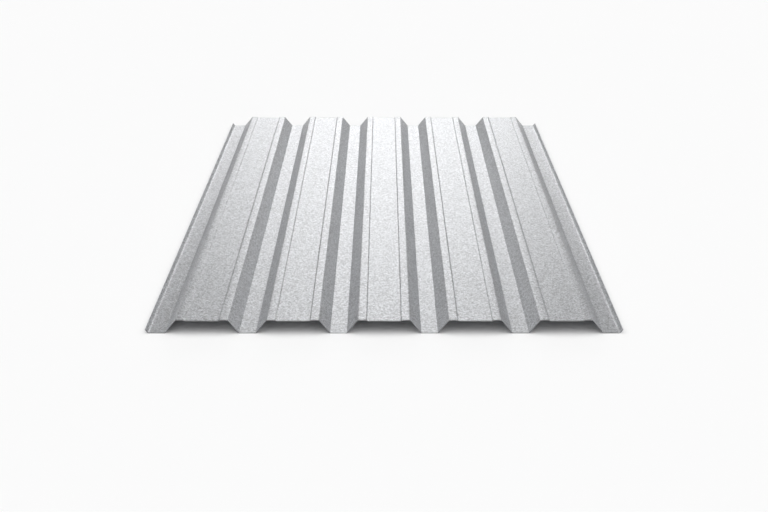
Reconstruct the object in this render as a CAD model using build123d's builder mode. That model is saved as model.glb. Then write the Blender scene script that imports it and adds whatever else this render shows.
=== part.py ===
# A profiled (trapezoidal) metal sheet, roll-formed from one flat strip of galvanised steel.
# Five wide crests stand on six narrow valleys. Each crest has a shallow stiffening recess
# along its middle, and a short upturned lip closes the valley at each side edge.
# X runs across the ribs, Y along them and Z up. The origin is under the middle of the
# sheet, on the plane of the valleys' undersides, where the sheet rests.
import os

from build123d import *

# Driving dimensions, in millimetres. Widths and heights of the section are measured
# between the corners of the sheet's mid-line, before its bends are rounded, and the
# radii are those of the mid-line.
sheet_length = 2000.0
sheet_thickness = 0.7
profile_depth = 32.0
rib_count = 5
rib_pitch = 207.0
crest_width = 117.8
crest_bend_radius = 4.5
valley_width = 38.4
valley_bend_radius = 2.0
shoulder_width = 18.4
step_run = 2.3
step_depth = 2.0
step_bend_radius = 2.0
lip_run = 6.0
lip_rise = 9.0
lip_bend_radius = 7.0

valley_level = sheet_thickness / 2
crest_level = profile_depth - sheet_thickness / 2
panel_level = crest_level - step_depth
first_valley = -rib_count * rib_pitch / 2


def crest_bends(centre):
    """Corners and radii of one crest from left to right, with its stiffening recess."""
    half_crest = crest_width / 2
    step_top = half_crest - shoulder_width
    step_foot = step_top - step_run
    return [
        ((centre - half_crest, crest_level), crest_bend_radius),
        ((centre - step_top, crest_level), step_bend_radius),
        ((centre - step_foot, panel_level), step_bend_radius),
        ((centre + step_foot, panel_level), step_bend_radius),
        ((centre + step_top, crest_level), step_bend_radius),
        ((centre + half_crest, crest_level), crest_bend_radius),
    ]


def valley_bends(centre, left_radius, right_radius):
    """Corners and radii of one valley from left to right."""
    half_valley = valley_width / 2
    return [
        ((centre - half_valley, valley_level), left_radius),
        ((centre + half_valley, valley_level), right_radius),
    ]


def section_bends():
    """Every corner of the mid-line between the two lips' tips, with its bend's radius."""
    bends = valley_bends(first_valley, lip_bend_radius, valley_bend_radius)
    for rib in range(rib_count):
        valley = first_valley + rib * rib_pitch
        if rib > 0:
            bends += valley_bends(valley, valley_bend_radius, valley_bend_radius)
        bends += crest_bends(valley + rib_pitch / 2)
    bends += valley_bends(-first_valley, valley_bend_radius, lip_bend_radius)
    return bends


def lip_tip(side):
    """Outer end of the lip at the left (-1) or right (1) side edge."""
    reach = -first_valley + valley_width / 2 + lip_run
    return side * reach, valley_level + lip_rise


bends = section_bends()
corners = [lip_tip(-1)] + [corner for corner, radius in bends] + [lip_tip(1)]
radii = [radius for corner, radius in bends]

with BuildPart() as profiled_sheet:
    with BuildSketch(Plane.XZ.offset(-sheet_length / 2)) as section:
        with BuildLine() as middle:
            FilletPolyline(*corners, radius=radii)
        trace(middle.line, line_width=sheet_thickness)
    extrude(amount=sheet_length)

profiled_sheet.part.label = "profiled_sheet"

os.makedirs("parts", exist_ok=True)
export_step(profiled_sheet.part, "parts/profiled_sheet.step")

strip_width = sum(edge.length for edge in middle.line.edges())
print("strip width", round(strip_width, 1))
print("box", profiled_sheet.part.bounding_box())
print("volume", round(profiled_sheet.part.volume), "solids", len(profiled_sheet.part.solids()))
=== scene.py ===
from math import atan2, ceil, cos, hypot, radians, sin, tan

import bpy
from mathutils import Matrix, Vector, noise


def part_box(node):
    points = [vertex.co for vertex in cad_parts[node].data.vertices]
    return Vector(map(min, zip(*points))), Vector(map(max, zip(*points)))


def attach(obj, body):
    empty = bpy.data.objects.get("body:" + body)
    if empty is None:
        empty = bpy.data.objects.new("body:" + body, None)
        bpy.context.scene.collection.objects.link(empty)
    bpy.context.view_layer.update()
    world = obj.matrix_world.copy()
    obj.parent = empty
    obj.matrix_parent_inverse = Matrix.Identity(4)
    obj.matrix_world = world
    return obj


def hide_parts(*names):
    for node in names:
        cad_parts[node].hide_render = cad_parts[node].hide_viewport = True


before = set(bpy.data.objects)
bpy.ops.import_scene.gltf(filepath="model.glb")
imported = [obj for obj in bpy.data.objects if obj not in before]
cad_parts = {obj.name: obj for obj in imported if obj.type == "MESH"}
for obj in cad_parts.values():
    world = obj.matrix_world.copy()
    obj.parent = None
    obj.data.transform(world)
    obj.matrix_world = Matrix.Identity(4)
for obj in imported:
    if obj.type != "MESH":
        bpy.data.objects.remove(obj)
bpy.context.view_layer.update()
low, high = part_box("profiled_sheet")

# The sheet's own sizes, in metres. Its length and depth come from the frame.
RIB_COUNT = 5
RIB_PITCH = 0.207
CREST_WIDTH = 0.1178
CREST_BEND_RADIUS = 0.0045
VALLEY_WIDTH = 0.0384
VALLEY_BEND_RADIUS = 0.002
SHOULDER_WIDTH = 0.0184
STEP_RUN = 0.0023
STEP_DEPTH = 0.002
STEP_BEND_RADIUS = 0.002
LIP_RUN = 0.006
LIP_RISE = 0.009
LIP_BEND_RADIUS = 0.007
THICKNESS = 0.0007
FRONT = low.y
BACK = high.y
CREST_TOP = high.z

# How finely the sheet is meshed, and the least angle between faces that shows as an edge.
ARC_STEP = radians(9)
FLAT_STEP = 0.011
ROW_STEP = 0.025
EDGE_EASE = 0.00015
EDGE_ANGLE = radians(30)

# The flats that lie level wander from true by up to the wave's height, less near a bend.
WAVE_HEIGHT = 0.00012
WAVE_LENGTH = 0.16
WAVE_WIDTH = 0.12
WAVE_FULL_AT = 0.015
LEVEL_ANGLE = radians(1)

# Which layer of the noise shapes the waves.
NOISE_LAYER = 3.7

# The zinc's colour and gloss, and how much both vary from crystal to crystal.
ZINC = (0.591, 0.60, 0.617)
ROUGHNESS = 0.42
SPANGLE_SIZE = 0.0025
SPANGLE_TONE = 0.4
SPANGLE_GLOSS = 0.03

# The frost is the finer grain over the crystals. Its noise is used between two of its values.
FROST_SIZE = 0.001
FROST_DETAIL = 3.0
FROST_VALUES = (0.3, 0.7)
FROST_TONE = 0.08
FROST_RELIEF = 0.00002

# The metal turns to dark bare steel this far in from the sheared ends and the slit sides: partly
# the cut's own bare steel, partly painted shade for the dark line along those edges.
BARE_STEEL_AND_EDGE_SHADE = (0.25, 0.25, 0.26, 1.0)
SHEARED_END_STEEL_AND_SHADE_WIDTH = 0.004
SLIT_SIDE_STEEL_AND_SHADE_WIDTH = 0.0004

FLOOR_REACH = 30.0
FLOOR_COLOUR = (0.92, 0.92, 0.92, 1.0)
FLOOR_ROUGHNESS = 0.9

# The dome brightens with height and goes dark towards the back. Both ranges are parts of a
# direction, from 0 across it to 1 along it.
DOME_HORIZON = 0.25
DOME_TOP = 1.38
DOME_RISE = (0.2, 0.76)
DOME_FADE = (0.35, 0.8)

# How broad each distant lamp looks from the sheet.
LAMP_WIDTH = radians(16)

# The camera that the photo's perspective gives. Its tilt is measured from level.
CAMERA_FROM_FRONT = 3.009
CAMERA_HEIGHT = 1.2107
CAMERA_TILT = radians(18.81)
LENS = 66.83
SENSOR_WIDTH = 36.0
VIEW_REACH = 200.0


def crest_bends(centre):
    """Corners and radii of one crest from left to right, with its stiffening recess."""
    level = CREST_TOP - THICKNESS / 2
    panel_level = level - STEP_DEPTH
    half_crest = CREST_WIDTH / 2
    step_top = half_crest - SHOULDER_WIDTH
    step_foot = step_top - STEP_RUN
    return [
        (centre - half_crest, level, CREST_BEND_RADIUS),
        (centre - step_top, level, STEP_BEND_RADIUS),
        (centre - step_foot, panel_level, STEP_BEND_RADIUS),
        (centre + step_foot, panel_level, STEP_BEND_RADIUS),
        (centre + step_top, level, STEP_BEND_RADIUS),
        (centre + half_crest, level, CREST_BEND_RADIUS),
    ]


def section_bends():
    """Corners of the sheet's mid-line between the lips' tips, each with its bend's radius."""
    level = THICKNESS / 2
    bends = []
    for valley in range(RIB_COUNT + 1):
        x = (valley - RIB_COUNT / 2) * RIB_PITCH
        left = LIP_BEND_RADIUS if valley == 0 else VALLEY_BEND_RADIUS
        right = LIP_BEND_RADIUS if valley == RIB_COUNT else VALLEY_BEND_RADIUS
        bends.append((x - VALLEY_WIDTH / 2, level, left))
        bends.append((x + VALLEY_WIDTH / 2, level, right))
        if valley < RIB_COUNT:
            bends += crest_bends(x + RIB_PITCH / 2)
    return bends


def bend_arc(before, corner, after):
    """Points (x, z, angle of the line) round one bend, from the flat before it to the next."""
    radius = corner[2]
    into = atan2(corner[1] - before[1], corner[0] - before[0])
    out = atan2(after[1] - corner[1], after[0] - corner[0])
    turn = out - into
    side = 1 if turn > 0 else -1
    tangent = radius * tan(abs(turn) / 2)
    centre_x = corner[0] - tangent * cos(into) - side * radius * sin(into)
    centre_z = corner[1] - tangent * sin(into) + side * radius * cos(into)
    steps = max(3, ceil(abs(turn) / ARC_STEP))
    arc = []
    for i in range(steps + 1):
        angle = into + turn * i / steps
        x = centre_x + side * radius * sin(angle)
        z = centre_z - side * radius * cos(angle)
        arc.append((x, z, angle))
    return arc


def flat_points(start, end):
    """Points inside the flat between two bends, each with its distance to the nearer bend."""
    x, z, angle = start
    length = hypot(end[0] - x, end[1] - z)
    steps = max(1, round(length / FLAT_STEP))
    points = []
    for i in range(1, steps):
        along = length * i / steps
        reach = min(along, length - along)
        points.append((x + along * cos(angle), z + along * sin(angle), angle, reach))
    return points


def section_points():
    """The rounded mid-line as (x, z, angle of the line, distance into its flat)."""
    bends = section_bends()
    tip_level = THICKNESS / 2 + LIP_RISE
    left_tip = (bends[0][0] - LIP_RUN, tip_level)
    right_tip = (bends[-1][0] + LIP_RUN, tip_level)
    corners = [left_tip] + bends + [right_tip]
    arcs = [bend_arc(*three) for three in zip(corners, corners[1:], corners[2:])]
    lip_angle = arcs[0][0][2]
    arcs = [[(*left_tip, lip_angle)]] + arcs + [[(*right_tip, -lip_angle)]]
    points = []
    for arc, following in zip(arcs, arcs[1:]):
        points += [(*point, 0.0) for point in arc]
        points += flat_points(arc[-1], following[0])
    points += [(*point, 0.0) for point in arcs[-1]]
    return points


def wander(x, y, reach):
    """How far a flat stands off true at a point, always towards the middle of the depth."""
    if reach <= 0:
        return 0.0
    wave = noise.noise(Vector((x / WAVE_WIDTH, y / WAVE_LENGTH, NOISE_LAYER)))
    return WAVE_HEIGHT * (0.5 + 0.5 * wave) * min(1.0, reach / WAVE_FULL_AT)


def rows_along():
    """Places along the sheet where its mesh has a full-thickness row, inside the eased ends."""
    length = BACK - FRONT - 2 * EDGE_EASE
    count = round(length / ROW_STEP)
    return [FRONT + EDGE_EASE + length * i / count for i in range(count + 1)]


def skin_row(vertices, points, y, offset):
    """Adds a row of points across the sheet, that far off its mid-line, and lists their numbers."""
    start = len(vertices)
    for x, z, angle, reach in points:
        drop = wander(x, y, reach) if abs(angle) < LEVEL_ANGLE else 0.0
        lift = -drop if z > CREST_TOP / 2 else drop
        vertices.append((x - offset * sin(angle), y, z + offset * cos(angle) + lift))
    return list(range(start, len(vertices)))


def quads_between(near, far):
    """The faces between two rows of points."""
    return [(near[i], near[i + 1], far[i + 1], far[i]) for i in range(len(near) - 1)]


def sheet_faces(top, bottom):
    """The faces of both skins, the two sheared ends and the two slit sides."""
    faces = quads_between(bottom[0], top[0]) + quads_between(top[-1], bottom[-1])
    for near, far in zip(top, top[1:]):
        faces += quads_between(near, far)
    for near, far in zip(bottom, bottom[1:]):
        faces += quads_between(far, near)
    faces += quads_between([row[0] for row in top], [row[0] for row in bottom])
    faces += quads_between([row[-1] for row in bottom], [row[-1] for row in top])
    return faces


def build_sheet():
    """The sheet as one closed mesh: top skin, bottom skin, and eased cut edges all round."""
    points = section_points()
    rows = rows_along()
    half = THICKNESS / 2
    eased = half - EDGE_EASE
    places = [(FRONT, eased)] + [(y, half) for y in rows] + [(BACK, eased)]
    vertices = []
    top = [skin_row(vertices, points, y, offset) for y, offset in places]
    bottom = [skin_row(vertices, points, y, -offset) for y, offset in places]
    mesh = bpy.data.meshes.new("sheet")
    mesh.from_pydata(vertices, [], sheet_faces(top, bottom))
    mesh.validate()
    for polygon in mesh.polygons:
        polygon.use_smooth = True
    sheet = bpy.data.objects.new("sheet", mesh)
    bpy.context.scene.collection.objects.link(sheet)
    mesh.set_sharp_from_angle(angle=EDGE_ANGLE)
    return sheet


def new_material(name):
    """A new material and its shader."""
    material = bpy.data.materials.new(name)
    material.use_nodes = True
    return material, material.node_tree.nodes["Principled BSDF"]


def around(middle, spread):
    """The range that reaches that far below and above a value."""
    return middle - spread, middle + spread


def ramp_between(tree, source, from_range, to_range, smooth=False):
    """Turns one range of values into another, flat beyond its ends."""
    ramp = tree.nodes.new("ShaderNodeMapRange")
    ramp.interpolation_type = "SMOOTHSTEP" if smooth else "LINEAR"
    sockets = ("From Min", "From Max", "To Min", "To Max")
    for socket, value in zip(sockets, (*from_range, *to_range)):
        ramp.inputs[socket].default_value = value
    tree.links.new(source, ramp.inputs["Value"])
    return ramp.outputs["Result"]


def combined(tree, operation, first, second):
    """A maths node on two values."""
    maths = tree.nodes.new("ShaderNodeMath")
    maths.operation = operation
    tree.links.new(first, maths.inputs[0])
    tree.links.new(second, maths.inputs[1])
    return maths.outputs["Value"]


def edge_mask(tree, offset, edge, width):
    """One at a pair of cut edges, nothing past the width of the bare steel and painted edge shade.
    """
    distance = tree.nodes.new("ShaderNodeMath")
    distance.operation = "ABSOLUTE"
    tree.links.new(offset, distance.inputs[0])
    steel_and_shade_band = (edge - width, edge - width / 2)
    return ramp_between(tree, distance.outputs["Value"], steel_and_shade_band, (0.0, 1.0))


def cut_edge_steel_and_shade_mask(tree, place):
    """One at the sheet's sheared ends and slit sides, where the bare steel and painted edge shade
    go.
    """
    split = tree.nodes.new("ShaderNodeSeparateXYZ")
    tree.links.new(place, split.inputs["Vector"])
    slit = edge_mask(tree, split.outputs["X"], high.x, SLIT_SIDE_STEEL_AND_SHADE_WIDTH)
    sheared = edge_mask(tree, split.outputs["Y"], BACK, SHEARED_END_STEEL_AND_SHADE_WIDTH)
    return combined(tree, "MAXIMUM", slit, sheared)


def spangle(tree, place):
    """Random values for each crystal of the zinc, as a colour's three parts."""
    cells = tree.nodes.new("ShaderNodeTexVoronoi")
    cells.inputs["Scale"].default_value = 1 / SPANGLE_SIZE
    tree.links.new(place, cells.inputs["Vector"])
    crystal = tree.nodes.new("ShaderNodeSeparateColor")
    tree.links.new(cells.outputs["Color"], crystal.inputs["Color"])
    return crystal.outputs


def frost(tree, place):
    """The finer grain over the crystals."""
    grain = tree.nodes.new("ShaderNodeTexNoise")
    grain.inputs["Scale"].default_value = 1 / FROST_SIZE
    grain.inputs["Detail"].default_value = FROST_DETAIL
    tree.links.new(place, grain.inputs["Vector"])
    return grain.outputs["Fac"]


def zinc_colour(tree, crystal, grain):
    """The zinc's colour, lighter and darker from crystal to crystal."""
    crystal_tone = ramp_between(tree, crystal["Red"], (0.0, 1.0), around(1, SPANGLE_TONE))
    frost_tone = ramp_between(tree, grain, FROST_VALUES, around(1, FROST_TONE))
    zinc = tree.nodes.new("ShaderNodeVectorMath")
    zinc.operation = "SCALE"
    zinc.inputs[0].default_value = ZINC
    tree.links.new(combined(tree, "MULTIPLY", crystal_tone, frost_tone), zinc.inputs["Scale"])
    return zinc.outputs["Vector"]


def steel_and_shade_at_edges(tree, place, metal):
    """The metal's colour, with dark bare steel along the cut edges that is partly painted shade."""
    colour = tree.nodes.new("ShaderNodeMix")
    colour.data_type = "RGBA"
    # A Mix node's sockets for colours come after those for numbers and vectors.
    first, second, result = colour.inputs[6], colour.inputs[7], colour.outputs[2]
    tree.links.new(cut_edge_steel_and_shade_mask(tree, place), colour.inputs["Factor"])
    tree.links.new(metal, first)
    # Dark bare steel along the cut edges: partly the cut's own steel, partly painted shade for the
    # dark edge line.
    second.default_value = BARE_STEEL_AND_EDGE_SHADE
    return result


def galvanised_steel():
    """Zinc coated steel with a fine spangle, and dark bare steel along its cut edges that is partly
    painted shade.
    """
    material, shader = new_material("galvanised_steel")
    tree = material.node_tree
    place = tree.nodes.new("ShaderNodeTexCoord").outputs["Object"]
    crystal = spangle(tree, place)
    grain = frost(tree, place)
    colour = steel_and_shade_at_edges(tree, place, zinc_colour(tree, crystal, grain))
    gloss = ramp_between(tree, crystal["Green"], (0.0, 1.0), around(ROUGHNESS, SPANGLE_GLOSS))
    tree.links.new(colour, shader.inputs["Base Color"])
    tree.links.new(gloss, shader.inputs["Roughness"])
    shader.inputs["Metallic"].default_value = 1.0

    relief = tree.nodes.new("ShaderNodeBump")
    relief.inputs["Strength"].default_value = 1.0
    relief.inputs["Distance"].default_value = FROST_RELIEF
    tree.links.new(grain, relief.inputs["Height"])
    tree.links.new(relief.outputs["Normal"], shader.inputs["Normal"])
    return material


def add_floor():
    """A plain pale floor that carries the sheet and its shadow."""
    reach = FLOOR_REACH
    corners = [(-reach, -reach, 0), (reach, -reach, 0), (reach, reach, 0), (-reach, reach, 0)]
    mesh = bpy.data.meshes.new("floor")
    mesh.from_pydata(corners, [], [(0, 1, 2, 3)])
    floor = bpy.data.objects.new("floor", mesh)
    bpy.context.scene.collection.objects.link(floor)
    material, shader = new_material("floor")
    shader.inputs["Base Color"].default_value = FLOOR_COLOUR
    shader.inputs["Roughness"].default_value = FLOOR_ROUGHNESS
    shader.inputs["Specular IOR Level"].default_value = 0.0
    mesh.materials.append(material)


def add_dome():
    """A plain studio dome: bright overhead, dimmer near the horizon, dark low at the back."""
    world = bpy.data.worlds.new("studio_dome")
    bpy.context.scene.world = world
    world.use_nodes = True
    tree = world.node_tree
    background = tree.nodes["Background"]
    direction = tree.nodes.new("ShaderNodeSeparateXYZ")
    coords = tree.nodes.new("ShaderNodeTexCoord")
    tree.links.new(coords.outputs["Generated"], direction.inputs["Vector"])
    up, back = direction.outputs["Z"], direction.outputs["Y"]
    by_height = ramp_between(tree, up, DOME_RISE, (DOME_HORIZON, DOME_TOP), smooth=True)
    by_depth = ramp_between(tree, back, DOME_FADE, (1.0, 0.0), smooth=True)
    level = combined(tree, "MULTIPLY", by_height, by_depth)
    tree.links.new(level, background.inputs["Strength"])
    background.inputs["Color"].default_value = (1.0, 1.0, 1.0, 1.0)


def add_lamp(name, azimuth, height, strength):
    """A broad distant lamp. Its azimuth is measured from the back of the sheet to the right."""
    lamp = bpy.data.lights.new(name, "SUN")
    lamp.energy = strength
    lamp.angle = LAMP_WIDTH
    sun = bpy.data.objects.new(name, lamp)
    bpy.context.scene.collection.objects.link(sun)
    a, e = radians(azimuth), radians(height)
    toward = Vector((sin(a) * cos(e), cos(a) * cos(e), sin(e)))
    sun.rotation_euler = toward.to_track_quat("Z", "Y").to_euler()


def add_lamps():
    """One lamp low behind the sheet, and weaker ones at both sides of it."""
    add_lamp("back_lamp", azimuth=0, height=10.5, strength=0.298)
    for side in (-1, 1):
        add_lamp("beside_back_lamp", azimuth=side * 13, height=10.5, strength=0.026)
        add_lamp("wing_lamp", azimuth=side * 28, height=15, strength=0.06)
        add_lamp("low_fill_lamp", azimuth=side * 50, height=27, strength=0.085)
        add_lamp("high_fill_lamp", azimuth=side * 50, height=42, strength=0.08)


def add_camera():
    """The camera at the photo's angle and distance."""
    camera = bpy.data.cameras.new("camera")
    camera.sensor_width = SENSOR_WIDTH
    camera.lens = LENS
    camera.clip_end = VIEW_REACH
    view = bpy.data.objects.new("camera", camera)
    bpy.context.scene.collection.objects.link(view)
    view.location = (0.0, FRONT - CAMERA_FROM_FRONT, CAMERA_HEIGHT)
    view.rotation_euler = (radians(90) - CAMERA_TILT, 0.0, 0.0)
    bpy.context.scene.camera = view


sheet = build_sheet()
sheet.data.materials.append(galvanised_steel())
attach(sheet, "root")
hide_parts("profiled_sheet")

add_floor()
add_dome()
add_lamps()
add_camera()
bpy.context.scene.view_settings.view_transform = "Standard"
